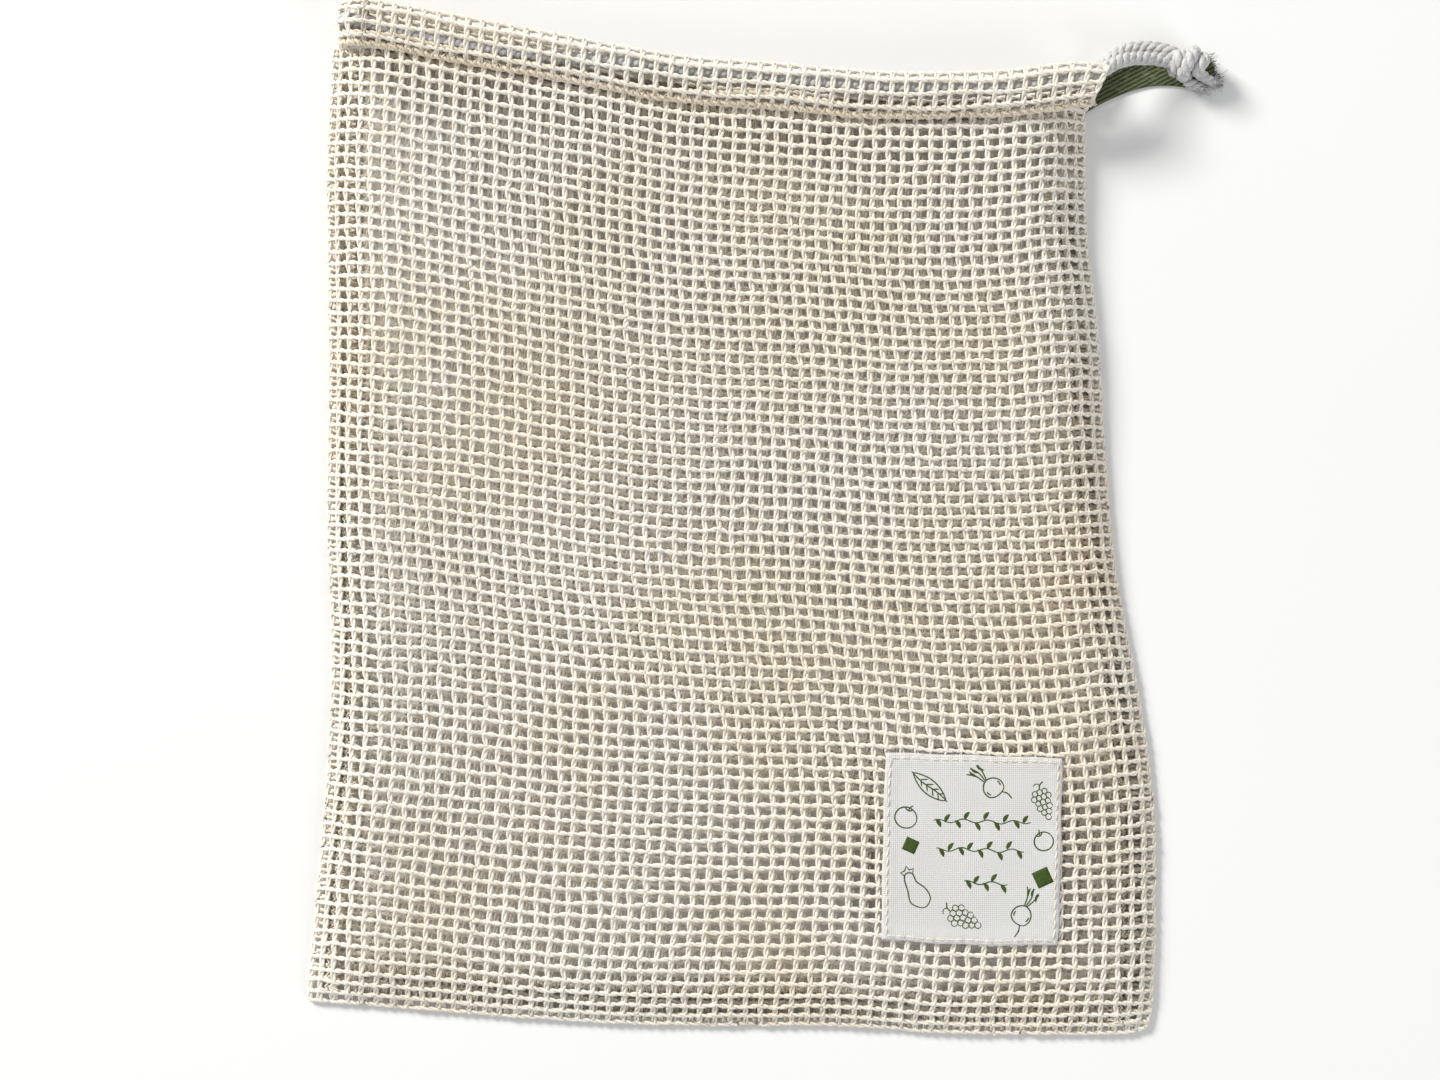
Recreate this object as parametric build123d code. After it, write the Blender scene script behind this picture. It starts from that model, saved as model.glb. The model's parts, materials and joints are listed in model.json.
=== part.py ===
from build123d import *
import os
from math import cos, radians, sin, tan

# Mesh produce bag, lying flat on its back, in millimetres. +Z up, +Y towards the mouth, +X towards
# the side where the drawstring comes out. The origin is on the back panel's underside.
os.makedirs("parts", exist_ok=True)

# ---------------------------------------------------------------- driving dimensions
cloth = 1.2  # thickness of one layer of the cotton mesh
cord_d = 4.0  # drawstring diameter
casing_wall = 0.8  # mesh pulled tight round the drawstring
channel_play = 0.35  # room between the drawstring and the casing's wall
casing_height = 13.5  # folded hem, measured across the casing
cord_below_fold = 4.6  # the drawstring's centre line below the casing's folded edge
mouth_gap = 6.4  # open space between the two casings
mouth_slope = -4.5  # degrees: the mouth's edge runs down towards the drawstring's exit
casing_start = (-108.5, 147.8)  # drawstring's centre line at the left end of the straight casings
casing_length = 217.0

left_bottom = (-126.3, -144.0)  # the panels' lower corners, in order round the bag
right_bottom = (125.5, -153.5)
right_low = (126.5, -114.0)
panel_start = -10.0  # where the panels' mouth edge starts and ends along the casings
panel_end = 216.5
edge_roll = 9.0  # width of the slope at the sides and the bottom
lid_low = 8.6  # height of the front panel's top face at the bottom edge
lid_high = 15.4  # and at the casing

allowance = (3.6, 9.0)  # seam allowance, from and to, measured in from the bag's edge
overlock = 1.4  # width of the overlock thread along an allowance
overlock_height = 1.7

label_size = (52.5, 56.0)
label_centre = (71.7, -97.8)
label_turn = -1.7  # degrees
label_cloth = 0.5
label_stitch_inset = 1.3
thread = 0.7  # width of a stitched line
thread_height = 0.3
hem_thread = 1.6
hem_thread_height = 0.5

tab_width = 10.0
tab_thickness = 0.8
tab_line = [(104.5, 126.0), (117.0, 131.2), (128.5, 134.2), (146.5, 133.4)]

knot_centre = (136.2, 137.2, 6.2)
knot_length = 11.5
knot_radius = 5.0
knot_rounding = 4.2

# ---------------------------------------------------------------- derived values
casing_depth = cord_d + 2 * channel_play + 2 * casing_wall
back_run_z = casing_depth / 2
front_run_z = casing_depth * 1.5 + mouth_gap
turn_radius = (front_run_z - back_run_z) / 2
panel_edge = cord_below_fold - casing_height  # across the mouth, from the drawstring's line

# The mouth's own frame: X along the casings, Y across them towards the open edge.
mouth = Plane(
    origin=(*casing_start, 0),
    x_dir=(cos(radians(mouth_slope)), sin(radians(mouth_slope)), 0),
    z_dir=(0, 0, 1),
)


def along_mouth(distance, height, across=0.0):
    """A point given by its distance along the casings, its height and its offset across them."""
    return mouth.from_local_coords((distance, across, height))


def inset_outline(inset, past_mouth=0.0):
    """The panels' corners, moved in from the sides and the bottom, and out past the mouth."""
    left_top = along_mouth(panel_start + inset, 0, panel_edge + past_mouth)
    right_top = along_mouth(panel_end - inset, 0, panel_edge + past_mouth)
    return [
        (left_top.X, left_top.Y),
        (left_bottom[0] + inset, left_bottom[1] + inset),
        (right_bottom[0] - inset, right_bottom[1] + inset),
        (right_low[0] - inset, right_low[1]),
        (right_top.X, right_top.Y),
    ]


left_top, *_, right_top = inset_outline(0)
lid_slope = (lid_high - lid_low) / (left_top[1] - right_bottom[1])


def lid_height(y):
    """Height of the front panel's top face."""
    return lid_low + lid_slope * (y - right_bottom[1])


lid = Plane(origin=(0, 0, lid_height(0)), x_dir=(1, 0, 0), z_dir=(0, -lid_slope, 1))


def save(node, shape):
    shape.label = node
    export_step(shape, f"parts/{node}.step")


# ---------------------------------------------------------------- panels
def pillow(wall, past_mouth):
    """The space under the front panel's outer face, or with a wall, under its inner face."""
    rim = Wire.make_polygon([(x, y, cloth) for x, y in inset_outline(1.25 * wall, past_mouth)])
    top_points = inset_outline(edge_roll + 1.25 * wall, past_mouth)
    top = Wire.make_polygon([(x, y, lid_height(y) - wall) for x, y in top_points])
    return Solid.make_loft([rim, top], ruled=True)


back_panel = extrude(make_face(Polyline(*inset_outline(0), close=True)), amount=cloth)
front_panel = pillow(0, 0) - pillow(cloth, 3)

# ---------------------------------------------------------------- drawstring casings
casing_middle = cord_below_fold - casing_height / 2  # across the mouth, from the drawstring's line


def casing_profile(height):
    """Section of a casing: a flattened tube with the drawstring's channel through it."""
    section = Plane(origin=along_mouth(0, height), x_dir=mouth.y_dir, z_dir=mouth.x_dir)
    outside = RectangleRounded(casing_height, casing_depth, 1.6)
    channel = RectangleRounded(casing_height - 2 * casing_wall, casing_depth - 2 * casing_wall, 1.2)
    return section * Pos(casing_middle, 0) * (outside - channel)


back_casing = extrude(casing_profile(back_run_z), amount=casing_length)
front_casing = extrude(casing_profile(front_run_z), amount=casing_length)
turn_axis = Axis(along_mouth(0, back_run_z + turn_radius), mouth.y_dir)
casing_turn = revolve(casing_profile(back_run_z), axis=turn_axis, revolution_arc=180)

# ---------------------------------------------------------------- seams and stitching


def edge_strip(start, end, near, far, height, from_start, from_end):
    """A strip along one edge of the bag, between two distances in from that edge."""
    edge = Vector(*end) - Vector(*start)
    along = edge.normalized()
    inward = Vector(-along.Y, along.X)
    first = Vector(*start) + along * from_start
    last = Vector(*end) - along * from_end
    corners = [first + inward * near, last + inward * near, last + inward * far, first + inward * far]
    face = make_face(Polyline(*[(c.X, c.Y, cloth) for c in corners], close=True))
    return extrude(face, amount=height, dir=(0, 0, 1))


corner_clear = allowance[1] + overlock + 0.6
seam_edges = {
    "left": (left_top, left_bottom, 4.0, corner_clear),
    "bottom": (left_bottom, right_bottom, 3.0 + allowance[0], 3.0 + allowance[0]),
    "right": (right_low, right_top, 2.0, 4.0),
}
for side, (start, end, from_start, from_end) in seam_edges.items():
    near, far = allowance
    save(f"{side}_seam", edge_strip(start, end, near, far, cloth, from_start, from_end))
    threads = edge_strip(start, end, far, far + overlock, overlock_height, from_start, from_end)
    save(f"{side}_overlock", threads)


def hem_corners():
    """Corners of the stitched line just below a casing, on the ground plan."""
    low = panel_edge - 0.3
    ends = (4.0, casing_length - edge_roll - 6.0)
    spots = [(ends[0], low), (ends[1], low), (ends[1], low - hem_thread), (ends[0], low - hem_thread)]
    return [along_mouth(distance, 0, across) for distance, across in spots]


def on_lid(x, y):
    """The point of the front panel's top face above a place on the ground plan."""
    return (x, y, lid_height(y))


front_hem_face = make_face(Polyline(*[on_lid(p.X, p.Y) for p in hem_corners()], close=True))
front_hem_stitches = extrude(front_hem_face, amount=hem_thread_height, dir=lid.z_dir)
back_hem_face = make_face(Polyline(*[(p.X, p.Y, cloth) for p in hem_corners()], close=True))
back_hem_stitches = extrude(back_hem_face, amount=hem_thread_height, dir=(0, 0, 1))

# ---------------------------------------------------------------- label
label_place = Plane(origin=on_lid(*label_centre), x_dir=lid.x_dir, z_dir=lid.z_dir)
label_place = label_place * Rot(0, 0, label_turn)
label = label_place * extrude(RectangleRounded(*label_size, 1.0), amount=label_cloth)
stitch_outer = [side - 2 * label_stitch_inset for side in label_size]
stitch_inner = [side - 2 * thread for side in stitch_outer]
stitch_ring = Rectangle(*stitch_outer) - Rectangle(*stitch_inner)
label_stitches = label_place * Pos(0, 0, label_cloth) * extrude(stitch_ring, amount=thread_height)

# ---------------------------------------------------------------- hang tab
tab_path = FilletPolyline(*[(x, y, tab_thickness / 2) for x, y in tab_line], radius=[20, 30])
tab_section = Plane(origin=tab_path @ 0, x_dir=(tab_path % 0).cross(Vector(0, 0, 1)), z_dir=tab_path % 0)
tab_band = sweep(tab_section * Rectangle(tab_width, tab_thickness), path=tab_path)
bag_side = mouth * Pos(casing_length - 50, 0, 0) * Box(100, 100, 20)
hang_tab = tab_band - bag_side
tab_bartack = mouth * Pos(casing_length, -5.0, tab_thickness + 0.3) * Box(5.0, 3.6, 0.6)

# ---------------------------------------------------------------- drawstring
exit_corner = casing_length + 5.0  # where a leg starts to turn up, outside the casing
front_leg_route = [
    along_mouth(0, front_run_z),
    along_mouth(exit_corner, front_run_z),
    Vector(122.5, 138.8, 12.2),
    Vector(132.2, 138.0, 8.4),
]
back_leg_route = [
    along_mouth(0, back_run_z),
    along_mouth(exit_corner, back_run_z),
    Vector(122.5, 140.2, 3.5),
    Vector(133.0, 140.4, 4.4),
]
front_tail_route = [Vector(140.5, 139.0, 7.2), Vector(145.0, 138.5, 5.6), Vector(148.3, 135.6, 4.0)]
back_tail_route = [Vector(140.5, 134.5, 5.2), Vector(144.3, 132.2, 3.8), Vector(146.8, 129.0, 3.2)]


def cord(name, route):
    """A round cord along straight runs joined by tangent arcs, each as large as its runs allow."""
    radii = []
    for before, corner, after in zip(route, route[1:], route[2:]):
        half_turn = radians((corner - before).get_angle(after - corner)) / 2
        shorter = min((corner - before).length, (after - corner).length)
        radii.append(0.45 * shorter / tan(half_turn))
    path = FilletPolyline(*route, radius=radii)
    section = Plane(origin=path @ 0, z_dir=path % 0) * Circle(cord_d / 2)
    tube = sweep(section, path=path)
    expected = section.area * path.length
    print(name, "length", round(path.length, 1), "arc radii", [round(r, 1) for r in radii],
          "volume share", round(tube.volume / expected, 3))
    return tube


front_leg = cord("front leg", front_leg_route)
back_leg = cord("back leg", back_leg_route)
front_tail = cord("front tail", front_tail_route)
back_tail = cord("back tail", back_tail_route)
turn_section = Plane(origin=along_mouth(0, back_run_z), x_dir=mouth.y_dir, z_dir=mouth.x_dir)
drawstring_turn = revolve(turn_section * Circle(cord_d / 2), axis=turn_axis, revolution_arc=180)
knot_body = Cylinder(knot_radius, knot_length, rotation=(0, 90, 0))
knot = Pos(*knot_centre) * fillet(knot_body.edges().filter_by(GeomType.CIRCLE), knot_rounding)

# ---------------------------------------------------------------- files
for node, shape in {
    "back_panel": back_panel,
    "front_panel": front_panel,
    "back_casing": back_casing,
    "front_casing": front_casing,
    "casing_turn": casing_turn,
    "front_hem_stitches": front_hem_stitches,
    "back_hem_stitches": back_hem_stitches,
    "label": label,
    "label_stitches": label_stitches,
    "hang_tab": hang_tab,
    "tab_bartack": tab_bartack,
    "drawstring_front_leg": front_leg,
    "drawstring_back_leg": back_leg,
    "drawstring_turn": drawstring_turn,
    "drawstring_knot": knot,
    "drawstring_front_tail": front_tail,
    "drawstring_back_tail": back_tail,
}.items():
    save(node, shape)
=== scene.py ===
import json
from math import ceil, cos, pi, radians, sin

import bpy
import numpy as np
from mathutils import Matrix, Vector


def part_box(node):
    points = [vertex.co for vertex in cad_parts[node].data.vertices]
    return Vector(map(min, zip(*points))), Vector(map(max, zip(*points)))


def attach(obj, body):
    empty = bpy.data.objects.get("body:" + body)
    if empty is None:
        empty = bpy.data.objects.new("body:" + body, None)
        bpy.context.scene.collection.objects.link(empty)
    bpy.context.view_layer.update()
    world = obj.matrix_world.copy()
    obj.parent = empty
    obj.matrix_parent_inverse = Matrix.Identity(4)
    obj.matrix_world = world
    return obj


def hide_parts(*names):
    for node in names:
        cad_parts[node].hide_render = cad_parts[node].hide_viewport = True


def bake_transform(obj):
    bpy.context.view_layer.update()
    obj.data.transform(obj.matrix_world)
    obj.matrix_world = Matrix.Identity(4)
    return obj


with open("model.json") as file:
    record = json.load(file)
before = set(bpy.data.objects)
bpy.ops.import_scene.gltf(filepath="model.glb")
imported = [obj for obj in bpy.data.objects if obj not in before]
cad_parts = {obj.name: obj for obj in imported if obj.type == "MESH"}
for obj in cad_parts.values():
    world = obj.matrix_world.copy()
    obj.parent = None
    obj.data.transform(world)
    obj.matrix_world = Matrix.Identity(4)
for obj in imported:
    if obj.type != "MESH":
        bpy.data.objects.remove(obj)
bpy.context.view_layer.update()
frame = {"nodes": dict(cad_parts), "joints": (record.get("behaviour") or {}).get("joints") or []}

# A mesh produce bag lying flat, seen from straight above. Metres throughout, in the frame's axes.
MM = 0.001
UP = np.array([0.0, 0.0, 1.0])
rng = np.random.default_rng(20)


# ---- places taken from the frame
def farthest(node, direction):
    """The corner of a CAD node that lies farthest in one direction."""
    points = np.array([v.co for v in frame["nodes"][node].data.vertices], float)
    return points[np.argmax(points @ np.array(direction, float))]


PULL = frame["joints"][0]
MOUTH_DIR = np.array(PULL["axis"], float)  # along the casings, towards the drawstring's exit
MOUTH_UP = np.array([-MOUTH_DIR[1], MOUTH_DIR[0], 0.0])  # across them, towards the open edge
LEFT_BOTTOM = farthest("back_panel", (-1, -1, 0))
RIGHT_BOTTOM = farthest("back_panel", (1, -2, 0))
LEFT_TOP = farthest("back_panel", (-1, 1, 0))
RIGHT_TOP = farthest("back_panel", MOUTH_DIR * 0.5 + MOUTH_UP)
FOLD_START = farthest("back_casing", MOUTH_UP - 10 * MOUTH_DIR) * (1, 1, 0)
FOLD_END = farthest("back_casing", MOUTH_UP + 10 * MOUTH_DIR) * (1, 1, 0)
CASING_LENGTH = float(np.linalg.norm(FOLD_END - FOLD_START))
LID_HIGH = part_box("front_panel")[1][2]
LID_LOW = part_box("front_panel")[0][2] + 7.4 * MM  # the front panel's top face at the bottom edge
CASING_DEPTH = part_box("back_casing")[1][2]
MIDDLE_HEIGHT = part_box("front_casing")[1][2] / 2
TURN_RADIUS = MIDDLE_HEIGHT - CASING_DEPTH / 2
CORD_D = 4 * MM
CORD_BELOW_FOLD = 4.6 * MM

# ---- how the cloth lies; plain lists and numbers of length are in millimetres
LEFT_BOW = [-0.9, 1.3, 3.4, 3.6, 1.4, 1.0, -0.1, -1.4, -0.8]  # to the right, from the bottom to the mouth
RIGHT_BOW = [0, 3.2, 5.0, 2.6, -1.6, -2.4, -2.1, -3.3, -1.6]
BOTTOM_BOW = [0, -1.0, -2.5, -3.1, -2.5, -1.3, -2.3, -1.6, -0.6]  # upwards, from left to right
FOLD_SAG = [0.4, -2.6, -5.8, -8.8, -8.8, -8.9, -6.1, -0.7]  # towards the open edge, left to right
CORNER_CUT, CORNER_REACH = 1.7, 13.0  # how much the bottom right corner is rounded, and from how far
BAG_WIDTH, BAG_HEIGHT = 250, 290  # near enough to measure that distance
HEM_DROP = 12 * MM  # from the casing's fold to its stitched line
EDGE_ROLL = 22 * MM  # how far in from a seam the front panel is still rising
EDGE_FALL = 2.4  # how much of that rise comes early
CLOTH_SAG = 1.2 * MM
ROW_SPREAD = 0.07  # how much farther apart the mesh's rows lie at the bottom
SEAM_Z = 1.2 * MM
YARN_LIFT = 0.95 * MM  # from a panel's middle to the top of its yarns
COLUMNS, ROWS = 56, 76  # cells of the mesh across and up the front panel
BACK_COLUMNS, BACK_ROWS = 54, 75
STRIPS = 5


def smooth(values, t):
    """A smooth line through evenly spaced values, at t from 0 to 1."""
    values = np.asarray(values, float)
    t = np.clip(t, 0, 1) * (len(values) - 1)
    i = np.minimum(t.astype(int), len(values) - 2)
    f = t - i
    a, b = values[np.maximum(i - 1, 0)], values[i]
    c, d = values[i + 1], values[np.minimum(i + 2, len(values) - 1)]
    return b + 0.5 * f * (c - a + f * (2 * a - 5 * b + 4 * c - d + f * (3 * (b - c) + d - a)))


def smooth_points(points, t):
    """A smooth line through a few points of two or three numbers each."""
    points = np.asarray(points, float)
    return np.stack([smooth(values, t) for values in points.T], -1)


def unit(v):
    return v / np.maximum(np.linalg.norm(v, axis=-1, keepdims=True), 1e-12)


def column(v):
    """Values with one more axis, so that they multiply vectors."""
    return np.asarray(v)[..., None]


def same_shape(a, b):
    return np.broadcast_arrays(np.asarray(a, float), np.asarray(b, float))


def run_along(points):
    """Distance along a line at each of its points."""
    return np.concatenate([[0], np.cumsum(np.linalg.norm(np.diff(points, axis=0), axis=1))])


def evenly(points, step):
    """The same line with evenly spaced points."""
    run = run_along(points)
    marks = np.linspace(0, run[-1], int(run[-1] / step) + 1)
    return np.stack([np.interp(marks, run, points[:, k]) for k in range(3)], -1)


# ---- camera and light
def add(name, data):
    obj = bpy.data.objects.new(name, data)
    bpy.context.scene.collection.objects.link(obj)
    return obj


VIEW_WIDTH = 432 * MM  # what the picture shows from side to side, at the height of the bag's seams
VIEW_CENTRE = (-3.9 * MM, -6 * MM)
camera = add("camera", bpy.data.cameras.new("camera"))
camera.data.lens = 70
camera.data.sensor_width = 36
camera.data.clip_start = 0.01
view_distance = VIEW_WIDTH * camera.data.lens / camera.data.sensor_width
camera.location = (*VIEW_CENTRE, view_distance + 2 * MM)
bpy.context.scene.camera = camera


def area_light(name, place, size, power, colour):
    """A square light that shines at the middle of the bag."""
    lamp = bpy.data.lights.new(name, "AREA")
    lamp.shape = "SQUARE"
    lamp.size = size
    lamp.energy = power
    lamp.color = colour
    obj = add(name, lamp)
    obj.location = place
    obj.rotation_euler = (-Vector(place)).to_track_quat("-Z", "Y").to_euler()


area_light("key", (-2.6, 2.1, 1.95), 1.05, 180.0, (1.0, 0.985, 0.955))
area_light("fill", (2.6, -1.9, 1.7), 1.8, 42.0, (0.96, 0.975, 1.0))
world = bpy.data.worlds.new("studio")
bpy.context.scene.world = world
world.use_nodes = True
background = world.node_tree.nodes["Background"]
background.inputs["Color"].default_value = (0.97, 0.98, 1.0, 1)
background.inputs["Strength"].default_value = 0.45
bpy.context.scene.view_settings.view_transform = "Standard"


# ---- materials
class Nodes:
    """A small helper that builds one Principled material's node tree."""

    def __init__(self, name, roughness, sheen):
        self.material = bpy.data.materials.new(name)
        self.material.use_nodes = True
        self.tree = self.material.node_tree
        self.shader = self.tree.nodes["Principled BSDF"]
        values = {"Specular IOR Level": 0.25, "Roughness": roughness}
        values |= {"Sheen Weight": sheen, "Sheen Roughness": 0.5}
        for socket, value in values.items():
            self.shader.inputs[socket].default_value = value
        self.place = self.node("ShaderNodeTexCoord").outputs["Object"]

    def give(self, socket, value):
        """Links another node's output to a socket, or sets the socket to a plain value."""
        if hasattr(value, "links"):
            self.tree.links.new(value, socket)
        else:
            socket.default_value = value

    def node(self, kind, **inputs):
        made = self.tree.nodes.new(kind)
        for name, value in inputs.items():
            self.give(made.inputs[name], value)
        return made

    def noise(self, scale, detail=2.0):
        return self.node("ShaderNodeTexNoise", Vector=self.place, Scale=scale, Detail=detail).outputs["Fac"]

    def ramp(self, factor, *stops):
        made = self.node("ShaderNodeValToRGB", Fac=factor)
        elements = made.color_ramp.elements
        while len(elements) < len(stops):
            elements.new(0.5)
        for element, (position, colour) in zip(elements, stops):
            element.position = position
            element.color = (*colour, 1)
        return made.outputs["Color"]

    def mix(self, factor, a, b, blend):
        """Two colours combined. Several sockets of this node share a name, so they go by number."""
        made = self.tree.nodes.new("ShaderNodeMix")
        made.data_type = "RGBA"
        made.blend_type = blend
        for number, value in ((0, factor), (6, a), (7, b)):
            self.give(made.inputs[number], value)
        return made.outputs[2]

    def finish(self, colour, bump, distance, strength, rough=None):
        """Sets colour and bump; rough is the roughness at the bump's lowest and highest points."""
        self.give(self.shader.inputs["Base Color"], colour)
        relief = self.node("ShaderNodeBump", Height=bump, Distance=distance, Strength=strength)
        self.give(self.shader.inputs["Normal"], relief.outputs[0])
        if rough:
            spread = self.node("ShaderNodeMapRange", Value=bump)
            spread.inputs["To Min"].default_value = rough[0]
            spread.inputs["To Max"].default_value = rough[1]
            self.give(self.shader.inputs["Roughness"], spread.outputs[0])
        return self.material


def yarn_material(name, pale, warm, dark):
    """Unbleached cotton: warmer and cooler patches, darker flecks and a fibrous surface."""
    n = Nodes(name, 0.92, 0.12)
    patches = n.ramp(n.noise(14.0, 3.0), (0.38, pale), (0.68, warm))
    flecks = n.ramp(n.noise(900.0, 3.0), (0.30, dark), (0.52, (1, 1, 1)))
    colour = n.mix(0.55, patches, flecks, "MULTIPLY")
    return n.finish(colour, n.noise(2600.0, 4.0), 0.00025, 0.8, (0.8, 1.0))


COTTON = yarn_material("mesh_cotton", (0.895, 0.855, 0.775), (0.875, 0.80, 0.675), (0.64, 0.56, 0.455))
THREAD = yarn_material("thread_cotton", (0.88, 0.82, 0.71), (0.84, 0.75, 0.60), (0.66, 0.58, 0.46))
# The hem cotton is the sewing thread made darker and warmer: painted shade and warm bounced light along the
# hem.
SHADED_HEM_COTTON = yarn_material("hem_cotton_painted_shade", (0.84, 0.765, 0.645), (0.74, 0.635, 0.47), (0.60, 0.50, 0.37))
ROPE = yarn_material("rope_cotton", (0.62, 0.615, 0.61), (0.57, 0.565, 0.55), (0.48, 0.475, 0.455))


def label_material():
    """Bleached plain weave: fine crossed ribs with a little slub."""
    n = Nodes("label_weave", 0.9, 0.2)
    product = n.node("ShaderNodeMath")
    product.operation = "MULTIPLY"
    for socket, direction in zip(product.inputs, "XY"):
        ribs = n.node("ShaderNodeTexWave", Vector=n.place, Scale=520.0, Distortion=1.2)
        ribs.bands_direction = direction
        n.give(socket, ribs.outputs["Fac"])
    weave = product.outputs[0]
    tone = n.ramp(n.noise(55.0, 3.0), (0.35, (0.745, 0.745, 0.73)), (0.7, (0.735, 0.715, 0.69)))
    shade = n.ramp(weave, (0.0, (0.84, 0.84, 0.83)), (0.5, (1, 1, 1)))
    colour = n.mix(0.6, tone, shade, "MULTIPLY")
    return n.finish(colour, weave, 0.0002, 0.7, (0.8, 0.95))


def ink_material():
    """Dark green print that sinks into the weave."""
    n = Nodes("green_ink", 0.8, 0.0)
    colour = n.ramp(n.noise(1200.0, 3.0), (0.3, (0.035, 0.062, 0.010)), (0.7, (0.060, 0.100, 0.018)))
    return n.finish(colour, n.noise(2400.0), 0.0001, 0.5)


def shadowed_ground_material():
    """Green ribbed tape in painted shadow, dark as green ground in the drawstring's shadow; paler on its
    ribs and darker between them, as painted highlight and shade; with a few cream fibres.
    """
    n = Nodes("woven_tape", 0.85, 0.15)
    slanted = n.node("ShaderNodeMapping", Vector=n.place, Rotation=(0, 0, radians(62)))
    rib = n.node("ShaderNodeTexWave", Vector=slanted.outputs[0], Scale=270.0, Distortion=1.5)
    rib.inputs["Detail Scale"].default_value = 3.0
    # Painted light: this ramp runs from a shadow green in the grooves to a highlight green on the ribs.
    tone = n.ramp(rib.outputs["Fac"], (0.1, (0.025, 0.032, 0.012)), (0.9, (0.125, 0.145, 0.065)))
    flecks = n.ramp(n.noise(420.0, 4.0), (0.55, (0.0, 0.0, 0.0)), (0.75, (0.20, 0.20, 0.15)))
    colour = n.mix(0.5, tone, flecks, "ADD")
    return n.finish(colour, n.noise(2200.0, 3.0), 0.0002, 0.7, (0.8, 0.95))


def floor_material():
    """Plain pale paper with a barely visible grain."""
    n = Nodes("pale_floor", 0.75, 0.0)
    colour = n.ramp(n.noise(3.0), (0.3, (0.84, 0.84, 0.83)), (0.7, (0.86, 0.86, 0.85)))
    return n.finish(colour, n.noise(900.0), 0.00005, 0.2)


LABEL_CLOTH = label_material()
INK = ink_material()
SHADOWED_GREEN_GROUND = shadowed_ground_material()
FLOOR = floor_material()


# ---- meshes
def mesh_object(name, parts, material):
    """One smooth-shaded mesh from (vertices, quads, polygons) parts."""
    vertices = []
    quads = []
    caps = []
    count = 0
    for points, squares, ends in parts:
        points = np.asarray(points, float).reshape(-1, 3)
        vertices.append(points)
        quads.append(np.asarray(squares, int).reshape(-1, 4) + count)
        caps += [np.asarray(end, int) + count for end in ends]
        count += len(points)
    vertices = np.concatenate(vertices)
    quads = np.concatenate(quads)
    loops = np.concatenate([quads.ravel(), *caps])
    sizes = np.concatenate([np.full(len(quads), 4), [len(end) for end in caps]]).astype(int)
    mesh = bpy.data.meshes.new(name)
    mesh.vertices.add(len(vertices))
    mesh.vertices.foreach_set("co", vertices.ravel())
    mesh.loops.add(len(loops))
    mesh.loops.foreach_set("vertex_index", loops)
    mesh.polygons.add(len(sizes))
    mesh.polygons.foreach_set("loop_start", np.concatenate([[0], np.cumsum(sizes)[:-1]]).astype(int))
    mesh.polygons.foreach_set("loop_total", sizes)
    mesh.polygons.foreach_set("use_smooth", np.ones(len(sizes), bool))
    mesh.update(calc_edges=True)
    mesh.validate()
    mesh.materials.append(material)
    return add(name, mesh)


def tubes(paths, normals, radius, sides, flat=1.0, lobes=None, twist=None):
    """Capped tubes along paths, an array of (tube, point, 3), each side starting from the normals.
    flat squeezes them, lobes gives each side's share of the radius, and twist turns the sides."""
    paths = np.asarray(paths, float)
    count, length = paths.shape[:2]
    tangents = unit(np.gradient(paths, axis=1))
    side = unit(np.cross(tangents, normals))
    top = np.cross(side, tangents)
    turn = np.zeros((count, length)) if twist is None else np.asarray(twist)
    angles = 2 * pi * np.arange(sides) / sides + turn[..., None]
    share = np.ones(sides) if lobes is None else lobes
    reach = column(np.broadcast_to(radius, (count, length))) * share
    ring = paths[:, :, None] + column(reach * np.cos(angles)) * side[:, :, None]
    ring = ring + column(reach * np.sin(angles) * flat) * top[:, :, None]
    index = np.arange(count * length * sides).reshape(count, length, sides)
    around = np.roll(index, -1, axis=2)
    quads = np.stack([index[:, 1:], around[:, 1:], around[:, :-1], index[:, :-1]], axis=-1)
    return ring, quads, [tube[0] for tube in index] + [tube[-1][::-1] for tube in index]


def slab(top, bottom):
    """A closed sheet between two grids of points of the same shape."""
    rows, columns = top.shape[:2]
    count = rows * columns
    index = np.arange(count).reshape(rows, columns)
    upper = np.stack([index[:-1, :-1], index[:-1, 1:], index[1:, 1:], index[1:, :-1]], -1).reshape(-1, 4)
    rim = np.concatenate([index[0], index[1:, -1], index[-1, -2::-1], index[-2:0:-1, 0]])
    ahead = np.roll(rim, -1)
    walls = np.stack([rim, rim + count, ahead + count, ahead], -1)
    points = np.concatenate([top.reshape(-1, 3), bottom.reshape(-1, 3)])
    return points, np.concatenate([upper, upper[:, ::-1] + count, walls]), []


# ---- the shape of the cloth
def fold_point(along):
    """The folded edge of the casing on the ground plan, at a distance from the casing's left end."""
    sag = smooth(FOLD_SAG, along / CASING_LENGTH) * MM
    return FOLD_START + column(along) * MOUTH_DIR + column(sag) * MOUTH_UP


def mouth_edge(u):
    """The panels' edge at the hem's stitched line."""
    start = float((LEFT_TOP - FOLD_START) @ MOUTH_DIR)
    end = float((RIGHT_TOP - FOLD_START) @ MOUTH_DIR)
    return fold_point(start + u * (end - start)) - HEM_DROP * MOUTH_UP


def lid_height(y):
    """Height of the front panel's top face over the ground plan."""
    return LID_LOW + (LID_HIGH - LID_LOW) * (y - RIGHT_BOTTOM[1]) / (LEFT_TOP[1] - RIGHT_BOTTOM[1])


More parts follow.
